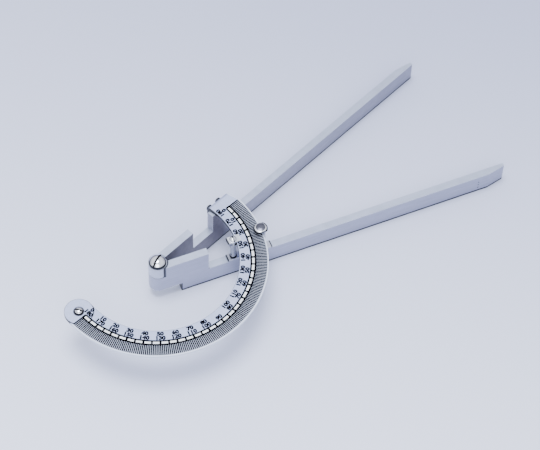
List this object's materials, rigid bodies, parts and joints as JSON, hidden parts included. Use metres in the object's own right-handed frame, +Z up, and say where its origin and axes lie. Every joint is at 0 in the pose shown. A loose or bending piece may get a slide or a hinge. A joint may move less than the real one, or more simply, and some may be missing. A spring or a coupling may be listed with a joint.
{
  "type": "protractor",
  "caption": "Two-arm protractor: flat bars hinged at one end, a half-circle degree scale fixed to one bar and clamped by a guide on the other.",
  "frame": {"origin": "under the middle of the resting outline, level with the bottom edges of the two arms; the pivot axis stands at x -71.5 mm, y +34.336 mm", "axes": "+X along the fixed arm away from the pivot, +Z up, parallel to the pivot axis, with the scale above the arms"},
  "size_m": [0.258, 0.0968, 0.032],
  "materials": {
    "arm_metal": "satin nickel-plated, fine lengthwise grain",
    "scale_metal": "matt satin sheet with black printed graduation",
    "polished": "polished chrome",
    "fastener": "plain bright steel",
    "pad_plastic": "matt black acetal"
  },
  "bodies": {
    "scale_arm": {"fixed_arm": "arm_metal", "scale_plate": "scale_metal", "flange_screws": "polished", "end_stop_screw": "polished", "end_stop_washer": "fastener", "end_stop_nut": "fastener", "pivot_screw": "polished", "pivot_top_washer": "polished", "pivot_middle_washer": "fastener", "pivot_spring_washer": "fastener", "pivot_nut": "fastener"},
    "swing_arm": {"moving_arm": "arm_metal", "guide_base": "arm_metal", "guide_base_screw": "fastener", "guide_pin": "polished", "guide_keeper": "arm_metal", "guide_cap_screw": "polished", "plate_rest": "arm_metal", "rest_pad": "pad_plastic", "clamp_yoke": "polished", "yoke_screw": "fastener"},
    "clamp_shoe_body": {"clamp_shoe": "fastener"},
    "clamp_screw_body": {"clamp_knob": "polished", "clamp_stem": "fastener"}
  },
  "joints": [
    {"name": "arm_swing", "type": "hinge", "parent": "scale_arm", "child": "swing_arm", "pos_m": [-0.0715, 0.03434, 0.012], "axis": [0, 0, 1], "range_deg": [-155, 23.5]},
    {"name": "clamp_lift", "type": "slide", "parent": "swing_arm", "child": "clamp_shoe_body", "axis": [0, 0, 1], "range_m": [0, 0.00045]},
    {"name": "clamp_turn", "type": "hinge", "parent": "clamp_shoe_body", "child": "clamp_screw_body", "pos_m": [-0.02098, 0.0091, 0.029], "axis": [0, 0, 1], "range_deg": [0, 360]}
  ],
  "couplings": [
    {"joint": "clamp_turn", "follows": "clamp_lift", "rad_per_m": 13963}
  ]
}
